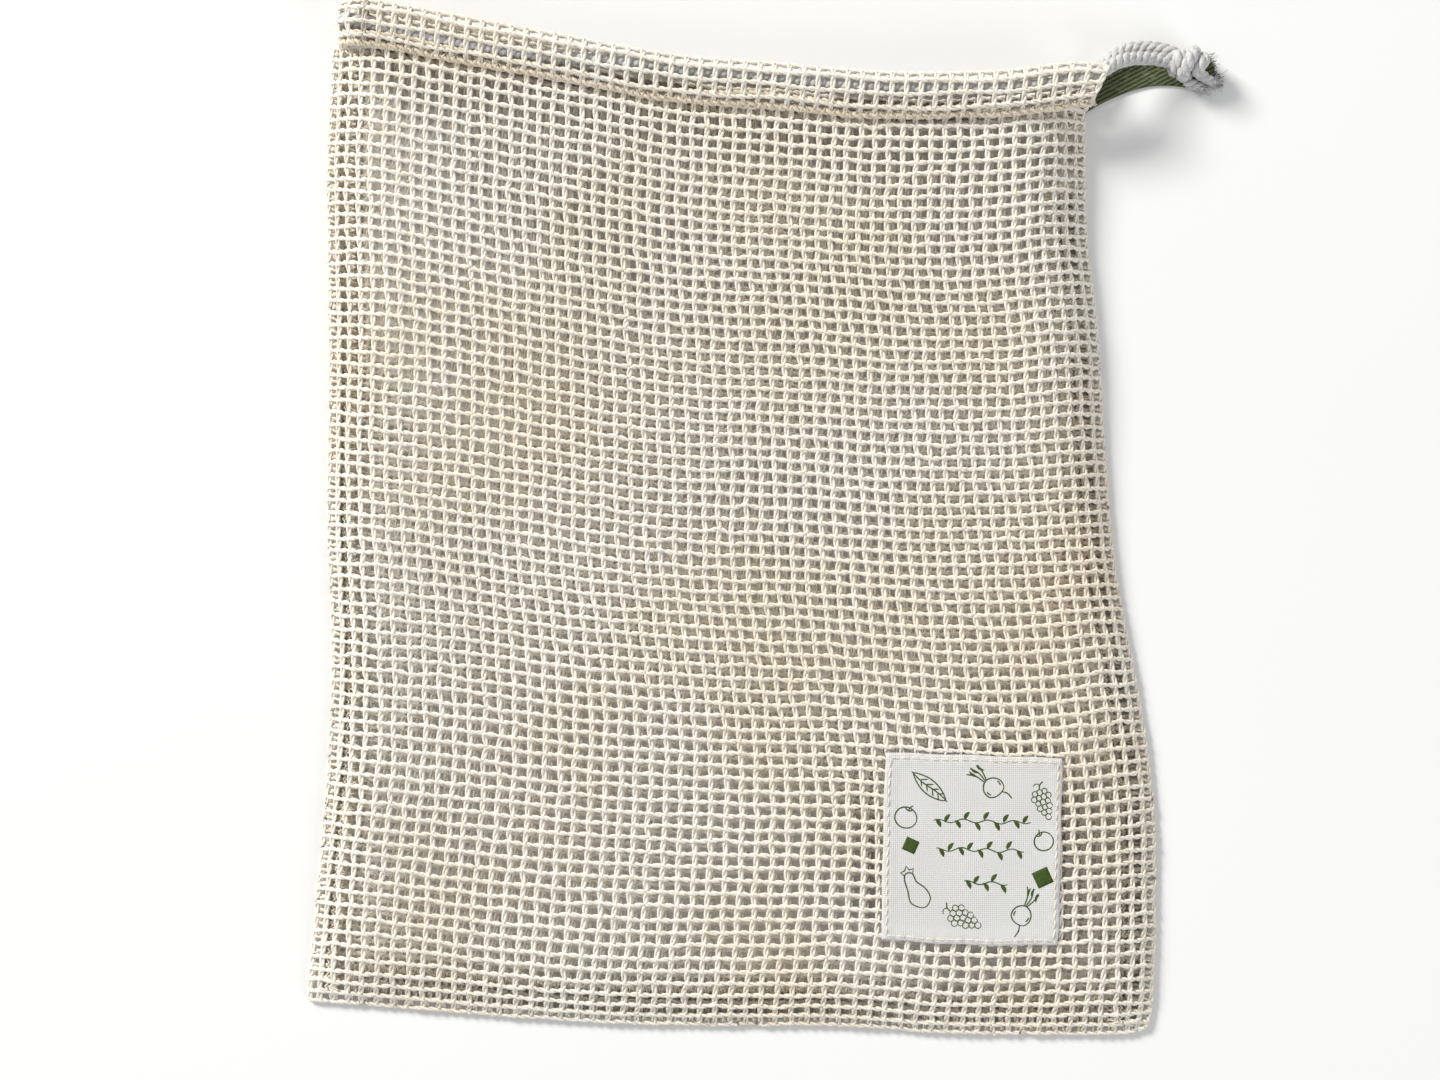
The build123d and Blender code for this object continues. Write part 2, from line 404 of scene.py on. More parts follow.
def plan(u, v):
    """A panel's ground plan: u from left to right, v from the bottom to the casing's hem."""
    u, v = same_shape(u, v)
    ends = mouth_edge(np.array([0.0, 1.0]))
    bottom = LEFT_BOTTOM + column(u) * (RIGHT_BOTTOM - LEFT_BOTTOM)
    straight = bottom + column(v) * (ends[0] + column(u) * (ends[1] - ends[0]) - bottom)
    bow_x = (1 - u) * smooth(LEFT_BOW, v) + u * smooth(RIGHT_BOW, v)
    bottom_bow = (1 - v) * smooth(BOTTOM_BOW, u)
    hem_bow = mouth_edge(u) - (ends[0] + column(u) * (ends[1] - ends[0]))
    off_corner = np.hypot((1 - u) * BAG_WIDTH, v * BAG_HEIGHT)
    corner = CORNER_CUT * np.clip(1 - off_corner / CORNER_REACH, 0, 1) ** 2
    across = np.stack([bow_x - corner, bottom_bow + corner, np.zeros_like(u)], -1) * MM
    return (straight + across + column(v) * hem_bow) * (1, 1, 0)


LABEL_BOX = np.array(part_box("label"))
LABEL_CENTRE = LABEL_BOX.mean(0) + np.array([-0.8, 0.1, 0]) * MM
LABEL_SIZE = (52.8 * MM, 55.6 * MM)
LABEL_ACROSS, LABEL_UP = radians(-1.1), radians(-1.2)  # the patch is sewn on a little askew
WAVE_COUNT, WAVE_TOTAL = 14, 4.5
WAVES = [
    (rng.uniform(20, 95), rng.uniform(0, 2 * pi), rng.uniform(0, 2 * pi), rng.uniform(0.5, 1.0))
    for _ in range(WAVE_COUNT)
]


def ripple(x, y):
    """Slow ripples of the cloth, from about -1 to 1."""
    total = sum(a * np.sin(k * (x * cos(h) + y * sin(h)) + p) for k, h, p, a in WAVES)
    return total / WAVE_TOTAL


def panel_width(v):
    ends = np.linalg.norm(RIGHT_BOTTOM - LEFT_BOTTOM), np.linalg.norm(RIGHT_TOP - LEFT_TOP)
    return ends[0] + v * (ends[1] - ends[0])


PANEL_HEIGHT = float(np.linalg.norm(LEFT_TOP - LEFT_BOTTOM))


def risen(distance):
    """How high the cloth stands, as a share, at a distance in from its seam."""
    return 1 - (1 - np.clip(distance / EDGE_ROLL, 0, 1)) ** EDGE_FALL


def rolled_table():
    """Distance in from a seam against length along the cloth."""
    distance = np.linspace(0, EDGE_ROLL, 200)
    rise = (LID_HIGH + LID_LOW) / 2 - YARN_LIFT - SEAM_Z
    height = rise * risen(distance)
    return distance, np.concatenate([[0], np.cumsum(np.hypot(np.diff(distance), np.diff(height)))])


EDGE_DISTANCE, EDGE_RUN = rolled_table()


def rolled(share, width, both_sides):
    """Distance in from the first seam and height, both as shares, at a share of the cloth's own length."""
    extra = EDGE_RUN[-1] - EDGE_ROLL
    total = width + (1 + both_sides) * extra
    run = share * total
    distance = np.where(run < EDGE_RUN[-1], np.interp(run, EDGE_RUN, EDGE_DISTANCE), run - extra)
    height = risen(distance)
    if both_sides:
        rest = total - run
        other = np.interp(rest, EDGE_RUN, EDGE_DISTANCE)
        distance = np.where(rest < EDGE_RUN[-1], width - other, distance)
        height = height * np.where(rest < EDGE_RUN[-1], risen(other), 1)
    return distance / width, height


def scatter(size):
    """Random shifts of the mesh's crossings, read between them by straight lines."""
    grid = rng.normal(0, 1, (COLUMNS + 3, ROWS + 3)) * size

    def at(c, r):
        c, r = np.clip(c + 1, 0, COLUMNS + 1.999), np.clip(r + 1, 0, ROWS + 1.999)
        i, j = c.astype(int), r.astype(int)
        f, g = c - i, r - j
        low = grid[i, j] * (1 - f) + grid[i + 1, j] * f
        return low * (1 - g) + (grid[i, j + 1] * (1 - f) + grid[i + 1, j + 1] * f) * g

    return at


def row_share(r, rows):
    """How far up a panel a row lies, as a share of the cloth's length."""
    share = r / rows
    return share * (1 + ROW_SPREAD * (1 - share))


def front_surface(c, r):
    """The front panel by column and row of the mesh. It ripples, and sags where nothing holds it flat."""
    c, r = same_shape(c, r)
    v, foot = rolled(row_share(r + front_r(c, r), ROWS), PANEL_HEIGHT, 0)
    u, side = rolled((c + front_c(c, r)) / COLUMNS, panel_width(v), 1)
    place = plan(u, v)
    x, y = place[..., 0], place[..., 1]
    full = lid_height(y) - YARN_LIFT - SEAM_Z
    off_x = np.abs(x - LABEL_CENTRE[0]) / LABEL_SIZE[0]
    off_y = np.abs(y - LABEL_CENTRE[1]) / LABEL_SIZE[1]
    off_label = np.clip((np.maximum(off_x, off_y) - 0.55) * 4, 0, 1)
    free = off_label * np.clip((1 - v) * 9, 0, 1) * foot * side
    place[..., 0] += 0.7 * MM * ripple(y * 1.3, x) * foot * side
    place[..., 1] += 0.8 * MM * ripple(x * 1.2 + 0.4, y * 1.4) * foot * side
    place[..., 2] = SEAM_Z + full * foot * side - CLOTH_SAG * (1 + ripple(x, y)) * free + front_z(c, r)
    return place


def inner(share):
    """0 at both edges of a panel and 1 well inside."""
    return np.clip(np.minimum(share, 1 - share) * 8, 0, 1)


def back_surface(c, r):
    """The back panel, flat on the floor."""
    c, r = same_shape(c, r)
    share_c = (c + back_c(c, r)) / BACK_COLUMNS
    share_r = row_share(r + back_r(c, r), BACK_ROWS)
    place = plan(0.002 + 0.996 * share_c, 0.002 + 0.998 * share_r)
    x, y = place[..., 0], place[..., 1]
    free = inner(share_c) * inner(share_r)
    place[..., 0] += 1.0 * MM * ripple(y * 0.8 + 3, x * 0.8) * free
    place[..., 1] += 1.0 * MM * ripple(x * 0.8, y * 0.8 + 5) * free
    place[..., 2] = YARN_LIFT + 0.02 * MM + np.abs(back_z(c, r))
    return place


front_c, front_r, front_z = scatter(0.06), scatter(0.06), scatter(0.10 * MM)
back_c, back_r, back_z = scatter(0.05), scatter(0.05), scatter(0.08 * MM)


CASING_HALF = CORD_D / 2 + YARN_LIFT  # from a casing's middle to its cloth, which clears the cord
CASING_SHIFT = 0.25 * MM  # each run lies this much nearer the middle than its solid
CASING_RAISE = 0.55 * MM  # and this much higher
MOUTH_BUNCH, MOUTH_SLANT = 16 * MM, 0.36  # how far in the open end is bunched, and how slanted it is cut


def casing_section():
    """Rows round a casing's section, evenly spaced, from the hem over the outside and back inside."""
    turn = np.linspace(0, 2 * pi, 241)
    wide, deep = HEM_DROP / 2, CASING_HALF
    across = -wide * np.sign(np.cos(turn)) * np.abs(np.cos(turn)) ** 0.8
    out = deep * np.sign(np.sin(turn)) * np.abs(np.sin(turn)) ** 0.6
    run = np.concatenate([[0], np.cumsum(np.hypot(np.diff(across), np.diff(out)))])
    return run / run[-1], across, out


SECTION = casing_section()
CASING_ROWS = 8
STRAIGHT, ROUND = 50, 5  # columns along each straight run of the casing and round its turn
TURN_LENGTH = pi * TURN_RADIUS


def casing_run(c):
    """Distance from the casing's left end, and the angle round its turn, from pi on the back to 0."""
    pitch = CASING_LENGTH / STRAIGHT
    marks = [-1, STRAIGHT, STRAIGHT + ROUND, 2 * STRAIGHT + ROUND + 1]
    ends = [-pitch, CASING_LENGTH, CASING_LENGTH + TURN_LENGTH, 2 * CASING_LENGTH + TURN_LENGTH + pitch]
    run = np.interp(c, marks, ends)
    turn = pi - np.clip((run - CASING_LENGTH) / TURN_RADIUS, 0, pi)
    along = np.maximum(CASING_LENGTH - run, 0) + np.maximum(run - CASING_LENGTH - TURN_LENGTH, 0)
    return along, turn


def casing_place(c, across, out):
    """A point of the unrolled casing. Columns run down the back from the exit, round the turn and along
    the front; across is from the section's middle towards the fold, and out is away from the bag.
    The casing tips over at its hem, and its open end is slanted and bunched."""
    along, turn = casing_run(c)
    hem = np.clip((1 - across / (HEM_DROP / 2)) / 2, 0, 1.1) ** 3
    mouth = np.clip((along - CASING_LENGTH) / MOUTH_BUNCH + 1, 0, 1.2) ** 2
    bunch_across = 0.5 * MM * mouth * np.sin(along / (2.1 * MM) + across / (1.7 * MM))
    across = across * (1 - 0.10 * mouth) + bunch_across
    out = out * (1 - 0.14 * mouth) + 0.35 * MM * mouth * np.sin(along / (1.9 * MM) + across / (2.3 * MM))
    reach = TURN_RADIUS - CASING_SHIFT + out + hem * (-1.2 + 3.0 * turn / pi) * MM
    along = along + mouth * (across * MOUTH_SLANT + 0.4 * MM)
    place = fold_point(along) + column(across - HEM_DROP / 2) * MOUTH_UP
    place = place - column(reach * np.sin(turn)) * MOUTH_DIR
    place[..., 2] = MIDDLE_HEIGHT + CASING_RAISE + reach * np.cos(turn)
    return place


def casing_surface(c, r):
    """The casing's cloth by column and by row round its section."""
    c, r = same_shape(c, r)
    wobble = 0.22 * np.sin(1.7 * r + 0.9 * c) + 0.2 * np.sin(0.37 * c + 2 * r)
    share = np.clip((r + 0.25 * wobble) / CASING_ROWS, 0, 1)
    across, out = np.interp(share, SECTION[0], SECTION[1]), np.interp(share, SECTION[0], SECTION[2])
    hem = ((1 - across / (HEM_DROP / 2)) / 2) ** 3
    return casing_place(c, across, out * (1 - 0.6 * hem))


# ---- woven mesh
WARP_STEPS, WEFT_STEPS, YARN_SIDES = 4, 5, 5
STRAND = 0.46 * MM  # radius of one strand; each warp and each weft is a pair
WARP_SPREAD, WARP_DEPTH = 0.43 * MM, 0.34 * MM
WEFT_PLY, WEFT_RISE, WEFT_TWIST = 0.37 * MM, 0.24 * MM, 0.75


def frame_at(surface, c, r):
    """Place, crosswise direction and normal of a surface."""
    step = 0.05
    place = surface(c, r)
    across = unit(surface(c + step, r) - surface(c - step, r))
    up = surface(c, r + step) - surface(c, r - step)
    return place, across, unit(np.cross(across, up))


def slubs(c, r):
    """A strand's radius, which swells and thins along it as spun cotton does."""
    slow = 0.09 * np.sin(1.31 * c + 2.17 * r) * np.sin(0.43 * c - 0.71 * r)
    return STRAND * (1 + slow + 0.05 * np.sin(5.3 * c + 3.1 * r))


def warps(surface, columns, rows, last_column, shift):
    """Yarns up the cloth: two strands that change sides between one weft and the next."""
    stop = columns[1] + (1 if last_column and not shift else 0)
    c = np.arange(columns[0], stop, dtype=float) + shift
    r = np.linspace(*rows, round((rows[1] - rows[0]) * WARP_STEPS) + 1)
    c, r = np.meshgrid(c, r, indexing="ij")
    place, across, normal = frame_at(surface, c, r)
    beat = pi * (r - shift + np.round(c - shift) % 2)
    bulge = np.sin(beat) * (1.3 - 0.3 * np.sin(beat) ** 2)
    parts = []
    for sign in (-1, 1):
        path = place + column(sign * WARP_SPREAD * bulge) * across
        path = path + column(sign * WARP_DEPTH * np.cos(beat)) * normal
        parts.append(tubes(path, normal, slubs(c + sign, r), YARN_SIDES))
    return parts


def wefts(surface, columns, rows, shift):
    """Yarns across the cloth: two plies twisted round each other, held between the warp strands."""
    first, last = columns
    r = np.arange(ceil(rows[0]), int(rows[1] - shift) + 1, dtype=float) + shift
    c = np.linspace(first, last, round((last - first) * WEFT_STEPS) + 1)
    r, c = np.meshgrid(r, c, indexing="ij")
    place, across, normal = frame_at(surface, c, r)
    forward = unit(np.cross(normal, across))
    parts = []
    for half in (0, pi):
        spin = 2 * pi * WEFT_TWIST * c + 2.4 * r + half
        path = place + column(WEFT_RISE + WEFT_PLY * np.sin(spin)) * normal
        path = path + column(WEFT_PLY * np.cos(spin)) * forward
        parts.append(tubes(path, normal, slubs(c, r + half), YARN_SIDES))
    return parts


def woven(surface, columns, rows, last_column, shift=0.0):
    """The mesh between two columns and two rows; shift moves its crossings by part of a cell."""
    return warps(surface, columns, rows, last_column, shift) + wefts(surface, columns, rows, shift)


def dress(nodes):
    """Hides the CAD nodes that a piece stands for."""
    if nodes:
        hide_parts(*nodes)


def gather(piece, slot, *nodes):
    """A piece that crosses the mouth: its transform is baked into its mesh and its CAD nodes are hidden."""
    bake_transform(piece)
    dress(nodes)


def fixed(piece, slot, *nodes, body="bag"):
    """A piece that moves with one body."""
    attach(piece, body)
    dress(nodes)


# ---- drawstring
def in_casing(along, across, height):
    """A route point in the casing, in millimetres: along it, off the cord's line, and its height."""
    line = FOLD_START - CORD_BELOW_FOLD * MOUTH_UP
    return line + along * MM * MOUTH_DIR + across * MM * MOUTH_UP + height * MM * UP


BACK_Z, FRONT_Z = 3.9, 16.1
TURN_REACH, TURN_ACROSS, TURN_LOW, TURN_HIGH = -7.4, -0.2, 6.6, 13.4
BACK_LEG = [(135.2, 137.6, 5.2), (130.5, 140.5, 4), (123.8, 141.7, 3), (117, 141, 3), (111.6, 137, 3.7)]
FRONT_LEG = [(111.6, 134.4, 15), (117.4, 136.8, 12), (124.4, 137.4, 9), (130, 136.8, 7.8)]
FRONT_LEG += [(134.6, 135.2, 7)]
CASING_RUN = [(217, 0.6), (206, -3.3), (174, -7.7), (130, -9.0)]  # from the exit to the turn
CASING_RUN += [(87, -7.4), (43, -6.4), (14, -3.4), (-2.6, -0.7)]
ROUTE = [
    *(np.array(point) * MM for point in BACK_LEG),
    *(in_casing(along, across, BACK_Z) for along, across in CASING_RUN),
    in_casing(TURN_REACH, TURN_ACROSS, TURN_LOW),
    in_casing(TURN_REACH, TURN_ACROSS, TURN_HIGH),
    *(in_casing(along, across, FRONT_Z) for along, across in reversed(CASING_RUN)),
    *(np.array(point) * MM for point in FRONT_LEG),
]
ROUTE_STEP = 0.5 * MM


def route_line():
    """Points along the drawstring's one smooth line, closely and evenly spaced."""
    data = bpy.data.curves.new("drawstring_route", "CURVE")
    data.dimensions = "3D"
    data.resolution_u = 48
    spline = data.splines.new("NURBS")
    spline.points.add(len(ROUTE) - 1)
    for point, place in zip(spline.points, ROUTE):
        point.co = (*place, 1)
    spline.order_u = 3
    spline.use_endpoint_u = True
    curve = add("drawstring_route", data)
    bpy.context.view_layer.update()
    mesh = bpy.data.meshes.new_from_object(curve)
    points = np.array([v.co for v in mesh.vertices], float)
    bpy.data.objects.remove(curve)
    bpy.data.curves.remove(data)
    bpy.data.meshes.remove(mesh)
    return evenly(points, ROUTE_STEP)


ROPE_RADIUS = 2.15 * MM
ROPE_PITCH = 7.2 * MM  # one strand's full turn
ROPE_STRANDS, ROPE_SIDES = 3, 16
STRAND_SHARE = 0.535  # a strand's radius as a share of the rope's
PLY_DEPTH, PLY_PITCH = 0.07, 0.55  # of each strand, as shares of its radius and of the rope's pitch


def rope(line, reference, radius=ROPE_RADIUS, start=0.0, taper=0.0):
    """Three soft strands laid along a line; each strand shows its own fine plies."""
    tangent = unit(np.gradient(line, axis=0))
    side = unit(np.cross(tangent, reference))
    top = np.cross(side, tangent)
    run = run_along(line) + start
    strand = radius * STRAND_SHARE
    close = 1 - taper * np.linspace(0, 1, len(line)) ** 3
    paths = []
    outward = []
    for k in range(ROPE_STRANDS):
        phase = 2 * pi * (run / ROPE_PITCH + k / ROPE_STRANDS)
        out = column(np.cos(phase)) * side + column(np.sin(phase)) * top
        paths.append(line + column((radius - strand) * close) * out)
        outward.append(out)
    lobes = 1 + PLY_DEPTH * np.cos(4 * 2 * pi * np.arange(ROPE_SIDES) / ROPE_SIDES)
    twist = np.broadcast_to(-2 * pi * run / (ROPE_PITCH * PLY_PITCH), (ROPE_STRANDS, len(line)))
    return tubes(paths, np.array(outward), strand * close, ROPE_SIDES, lobes=lobes, twist=twist)


LEG_IN_CASING = 8 * MM  # how much of each leg's piece lies in the casing
line = route_line()
inside = np.array([(p - FOLD_START) @ MOUTH_DIR < CASING_LENGTH - LEG_IN_CASING for p in line])
first = int(np.argmax(inside))
last = len(line) - int(np.argmax(inside[::-1]))
back_leg_line, loop_line, front_leg_line = line[: first + 1], line[first:last], line[last - 1:]
back_rope = rope(back_leg_line, MOUTH_UP)
loop_rope = rope(loop_line, MOUTH_UP, start=first * ROUTE_STEP)
front_rope = rope(front_leg_line, MOUTH_UP, start=(last - 1) * ROUTE_STEP)
loop = mesh_object("drawstring_loop", [loop_rope], ROPE)
back_leg = mesh_object("drawstring_back_leg_rope", [back_rope], ROPE)
front_leg = mesh_object("drawstring_front_leg_rope", [front_rope], ROPE)

KNOT_CENTRE = np.array(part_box("drawstring_knot")).mean(0) + np.array([-0.3, -1.1, 0.1]) * MM
KNOT_ANGLE = radians(-32)
KNOT_AXIS = np.array([cos(KNOT_ANGLE), sin(KNOT_ANGLE), 0])
KNOT_SIDE = np.array([-KNOT_AXIS[1], KNOT_AXIS[0], 0])
KNOT_TURNS, KNOT_REACH, KNOT_LENGTH = 2.15, 3.8 * MM, 7.0 * MM


def knot_line():
    """The rope wound round the two legs, loosely and askew; it tucks in at both ends."""
    t = np.linspace(0, 1, 240)
    turn = 2 * pi * (KNOT_TURNS * t + 0.18)
    reach = KNOT_REACH * (1 - 0.66 * np.abs(2 * t - 1) ** 6) * (1 + 0.04 * np.sin(7 * t + 1))
    along = (t - 0.5 + 0.02 * np.sin(9 * t)) * KNOT_LENGTH + 0.5 * MM * np.cos(turn + 0.6)
    round_it = column(reach * np.cos(turn)) * KNOT_SIDE + column(reach * np.sin(turn)) * UP
    return KNOT_CENTRE + column(along) * KNOT_AXIS + round_it


knot_rope = rope(evenly(knot_line(), 0.4 * MM), KNOT_AXIS)
knot = mesh_object("drawstring_knot_wraps", [knot_rope], ROPE)


def loose_fibres(draw, roots, headings, reach, curl, steps, heights, radius, reference):
    """Fine curling fibres, each from its root along its heading; heights keeps them off the floor."""
    count = len(roots)
    t = np.linspace(0, 1, steps)[None, :, None]
    lengths = draw.uniform(*reach, (count, 1, 1)) * MM
    bends = draw.normal(0, curl, (count, 1, 3)) * MM * t**2
    paths = roots[:, None] + headings[:, None] * lengths * t + bends
    paths[..., 2] = np.clip(paths[..., 2], *heights)
    return tubes(paths, reference, radius, 4)


def frayed_tail(points, seed):
    """A short rope end that opens into loose fibres."""
    draw = np.random.default_rng(seed)
    line = smooth_points(np.array(points) * MM, np.linspace(0, 1, 24))
    end, forward = line[-1], unit(line[-1] - line[-4])
    count = 90
    headings = unit(forward + draw.normal(0, 0.42, (count, 3)) * (1, 1, 0.5))
    roots = end - forward * 1.4 * MM + draw.normal(0, 0.7, (count, 3)) * MM * (1, 1, 0.8)
    strands = rope(line, UP + 0.2 * MOUTH_UP, 1.75 * MM, taper=0.35)
    heights = (0.2 * MM, 1)
    reference = UP + 0.3 * MOUTH_UP
    frayed = loose_fibres(draw, roots, headings, (1.4, 4.2), 0.8, 7, heights, 0.09 * MM, reference)
    return [strands, frayed]


TAIL_FRONT = [(138.2, 133.8, 6.2), (140.4, 132.6, 5.2), (142.4, 131.6, 4.2), (144.2, 130.9, 3.2)]
TAIL_BACK = [(135.4, 131.6, 3.8), (137.2, 130.7, 3.2), (139.0, 130.2, 2.8), (140.6, 129.9, 2.5)]
front_tail = mesh_object("drawstring_front_tail_frayed", frayed_tail(TAIL_FRONT, 3), ROPE)
back_tail = mesh_object("drawstring_back_tail_frayed", frayed_tail(TAIL_BACK, 4), ROPE)

ROPE_PIECES = (
    (loop, "turn"),
    (back_leg, "back_leg"),
    (front_leg, "front_leg"),
    (knot, "knot"),
    (front_tail, "front_tail"),
    (back_tail, "back_tail"),
)
for piece, node in ROPE_PIECES:
    fixed(piece, "cotton_rope", f"drawstring_{node}", body="drawstring")


# ---- panels
PANELS = (
    ("front", front_surface, COLUMNS, ROWS, 0.0, "back_mesh"),
    ("back", back_surface, BACK_COLUMNS, BACK_ROWS, 0.5, "floor"),
)
for side, surface, columns, rows, shift, under in PANELS:
    borders = [round(columns * k / STRIPS) for k in range(STRIPS + 1)]
    for k in range(STRIPS):
        span = (borders[k], borders[k + 1])
        cloth = woven(surface, span, (0, rows), k == STRIPS - 1, shift)
        strip = mesh_object(f"{side}_mesh_{k + 1}", cloth, COTTON)
        gather(strip, "cotton_mesh", f"{side}_panel")

# ---- casings
CASING_SPANS = (
    ("back_casing", (0, STRAIGHT)),
    ("casing_turn", (STRAIGHT, STRAIGHT + ROUND)),
    ("front_casing", (STRAIGHT + ROUND, 2 * STRAIGHT + ROUND)),
)
for name, span in CASING_SPANS:
    cloth = woven(casing_surface, span, (0, CASING_ROWS - 0.1), True)
    piece = mesh_object(f"{name}_mesh", cloth, COTTON)
    gather(piece, "cotton_mesh", name)


# ---- seams and stitching
ALLOWANCE = 2  # columns or rows of mesh turned in at each seam
ALLOWANCE_Z = 2.55 * MM
SIDE_PITCH, ROW_PITCH = 0.0168, 0.0138  # one cell as a share of the panel's width and height


SEAM_INSET = 0.012


def allowance(u, v, depth, wave):
    """A seam's turned-in cloth, which rises from 0, its fold, to ALLOWANCE, its raw edge."""
    place = plan(u, v)
    place[..., 2] = ALLOWANCE_Z - 0.5 * MM * (ALLOWANCE - depth) / ALLOWANCE + 0.1 * MM * np.sin(wave)
    return place


def left_allowance(c, r):
    return allowance(SEAM_INSET + SIDE_PITCH * c, SEAM_INSET + 0.975 * r / ROWS, c, 0.7 * r)


def right_allowance(c, r):
    c = ALLOWANCE - c
    return allowance(1 - SEAM_INSET - SIDE_PITCH * c, SEAM_INSET + 0.9 * r / ROWS, c, 0.6 * r + 1)


def bottom_allowance(c, r):
    return allowance(c / COLUMNS, 0.010 + ROW_PITCH * r, r, 0.8 * c)


def zigzag(place, count, side_steps, radius, sides=6):
    """A sewing thread that runs from side to side. place(t, s) gives its point at t stitches and at s
    from -1, one side, to 1, the other."""
    t = np.linspace(0, count, count * side_steps + 1)
    wave = np.arcsin(0.96 * np.sin(2 * pi * t)) / np.arcsin(0.96)
    path = place(t, wave)
    return tubes(path[None], UP, radius, sides)


def on_surface(surface, along_columns, start, stop, count, middle, reach, lift):
    """Turns stitch coordinates into points just over a mesh surface, between two columns or two rows."""

    def place(t, s):
        along = start + (stop - start) * t / count
        cross = middle + reach * s
        c, r = (along, cross) if along_columns else (cross, along)
        point, _, normal = frame_at(surface, c, r)
        return point + column(lift + 0.25 * MM * np.abs(s)) * normal

    return place


def overlock(surface, along_columns, start, stop, edge, inward):
    """Looping threads over a raw edge: a zigzag over it and a straighter chain beside it."""
    count = round(abs(stop - start) * 2.3)
    over = on_surface(surface, along_columns, start, stop, count, edge, 0.42, 0.85 * MM)
    chain = on_surface(surface, along_columns, start, stop, count, edge + 0.5 * inward, 0.10, 0.95 * MM)
    return [zigzag(over, count, 8, 0.22 * MM), zigzag(chain, count, 6, 0.24 * MM)]


# Each seam: its surface, columns, rows, whether its thread runs along columns, raw edge and way in.
SEAMS = {
    "left": (left_allowance, (0, 1), (0, ROWS), False, 1, -1),
    "right": (right_allowance, (0, ALLOWANCE), (0, ROWS), False, 0, 1),
    "bottom": (bottom_allowance, (3, COLUMNS - 3), (0, ALLOWANCE), True, ALLOWANCE, -1),
}
for name, (surface, columns, rows, along_columns, edge, inward) in SEAMS.items():
    strip = mesh_object(f"{name}_seam_allowance", woven(surface, columns, rows, True), COTTON)
    run = columns if along_columns else rows
    stitches = overlock(surface, along_columns, *run, edge, inward)
    thread = mesh_object(f"{name}_overlock_thread", stitches, THREAD)
    hold = gather if name == "left" else fixed
    hold(strip, "cotton_mesh", f"{name}_seam")
    hold(thread, "sewing_thread", f"{name}_overlock")

HEM_MIDDLE = -HEM_DROP / 2 - 0.1 * MM  # the hem's stitched line in the casing's section
HEM_LIFT = 0.70 * MM
HEM_JOIN = STRAIGHT + ROUND * 0.5


def thick_pair(c, length, middle, lift, spread, radius, turn_length):
    """Two thick threads twisted round each other along the casing."""
    t = np.linspace(0, length, len(c))
    parts = []
    for half in (0, pi):
        spin = 2 * pi * t / turn_length + half
        path = casing_place(c, middle + spread * np.cos(spin), lift + spread * np.sin(spin))
        swell = radius * (1 + 0.12 * np.sin(t / (2.3 * MM) + half) * np.sin(t / (5.1 * MM)))
        parts.append(tubes(path[None], MOUTH_UP, swell, 8))
    return parts


def hem_stitches(c_start, c_stop):
    """The dense hem: a twisted pair of thick threads on the turned edge, tied down by a zigzag,
    and a finer pair on the raw edge, above it."""
    length = abs(c_stop - c_start) * CASING_LENGTH / STRAIGHT
    c = np.linspace(c_start, c_stop, int(length / (0.32 * MM)))
    t = np.linspace(0, length, len(c))
    drift = 0.28 * MM * np.sin(t / (9 * MM)) + 0.15 * MM * np.sin(t / (3.3 * MM) + 1)
    parts = thick_pair(c, length, HEM_MIDDLE + drift, HEM_LIFT, 0.46 * MM, 0.56 * MM, 5.2 * MM)
    raised = HEM_MIDDLE + 2.5 * MM + 0.55 * MM * np.sin(t / (17 * MM)) + drift
    parts += thick_pair(c, length, raised, 1.9 * MM, 0.34 * MM, 0.38 * MM, 4.4 * MM)
    count = int(length / (3.1 * MM))

    def over(t, s):
        place_c = c_start + (c_stop - c_start) * t / count
        lift = HEM_LIFT + (1.0 - 0.7 * s * s) * MM
        return casing_place(place_c, HEM_MIDDLE + 1.15 * MM * s, lift)

    parts.append(zigzag(over, count, 8, 0.15 * MM))
    return parts


# Both hem threads take the darker hem cotton, whose colour is painted shade along the hem.
back_hem = mesh_object("back_hem_thread", hem_stitches(0.4, HEM_JOIN), SHADED_HEM_COTTON)
front_hem = mesh_object("front_hem_thread", hem_stitches(HEM_JOIN, 2 * STRAIGHT + ROUND - 0.4), SHADED_HEM_COTTON)
gather(back_hem, "sewing_thread", "back_hem_stitches")
gather(front_hem, "sewing_thread", "front_hem_stitches")

# ---- label
LABEL_TOP = 0.62 * MM  # from the mesh's highest yarns to the label's face
LABEL_THICKNESS = 0.5 * MM


def label_point(a, b, lift=0.0):
    """A point on the label's face: a to the right and b up from its middle, in metres."""
    a, b = same_shape(a, b)
    p, q = a / (LABEL_SIZE[0] / 2), b / (LABEL_SIZE[1] / 2)  # from -1 to 1
    bow = MM * (0.9 * q * (1 - p * p) * (q < 0) - 0.35 * p * q**8 + 0.12 * np.sin(9 * p + 2))
    side = MM * (-0.3 * p * q**8 + 0.1 * np.sin(8 * q + 1))
    x = LABEL_CENTRE[0] + (a + side) * cos(LABEL_ACROSS) - (b + bow) * sin(LABEL_UP)
    y = LABEL_CENTRE[1] + (a + side) * sin(LABEL_ACROSS) + (b + bow) * cos(LABEL_UP)
    edge = np.maximum(np.abs(p), np.abs(q))
    slow = 0.20 * np.sin(2.3 * p + 1.1) * np.sin(2.0 * q + 0.3) + 0.10 * np.sin(6.1 * p - 3.3 * q)
    pucker = 0.10 * np.sin(38 * p) * np.clip((np.abs(q) - 0.86) * 9, 0, 1)
    pucker = pucker + 0.10 * np.sin(41 * q) * np.clip((np.abs(p) - 0.86) * 9, 0, 1)
    fold = 0.16 * np.clip((edge - 0.83) * 14, 0, 1) - 0.45 * np.clip((edge - 0.965) * 28, 0, 1) ** 2
    z = lid_height(y) + LABEL_TOP + lift + MM * (slow * (1 - edge**6) + pucker + fold)
    return np.stack([x, y, z], -1)


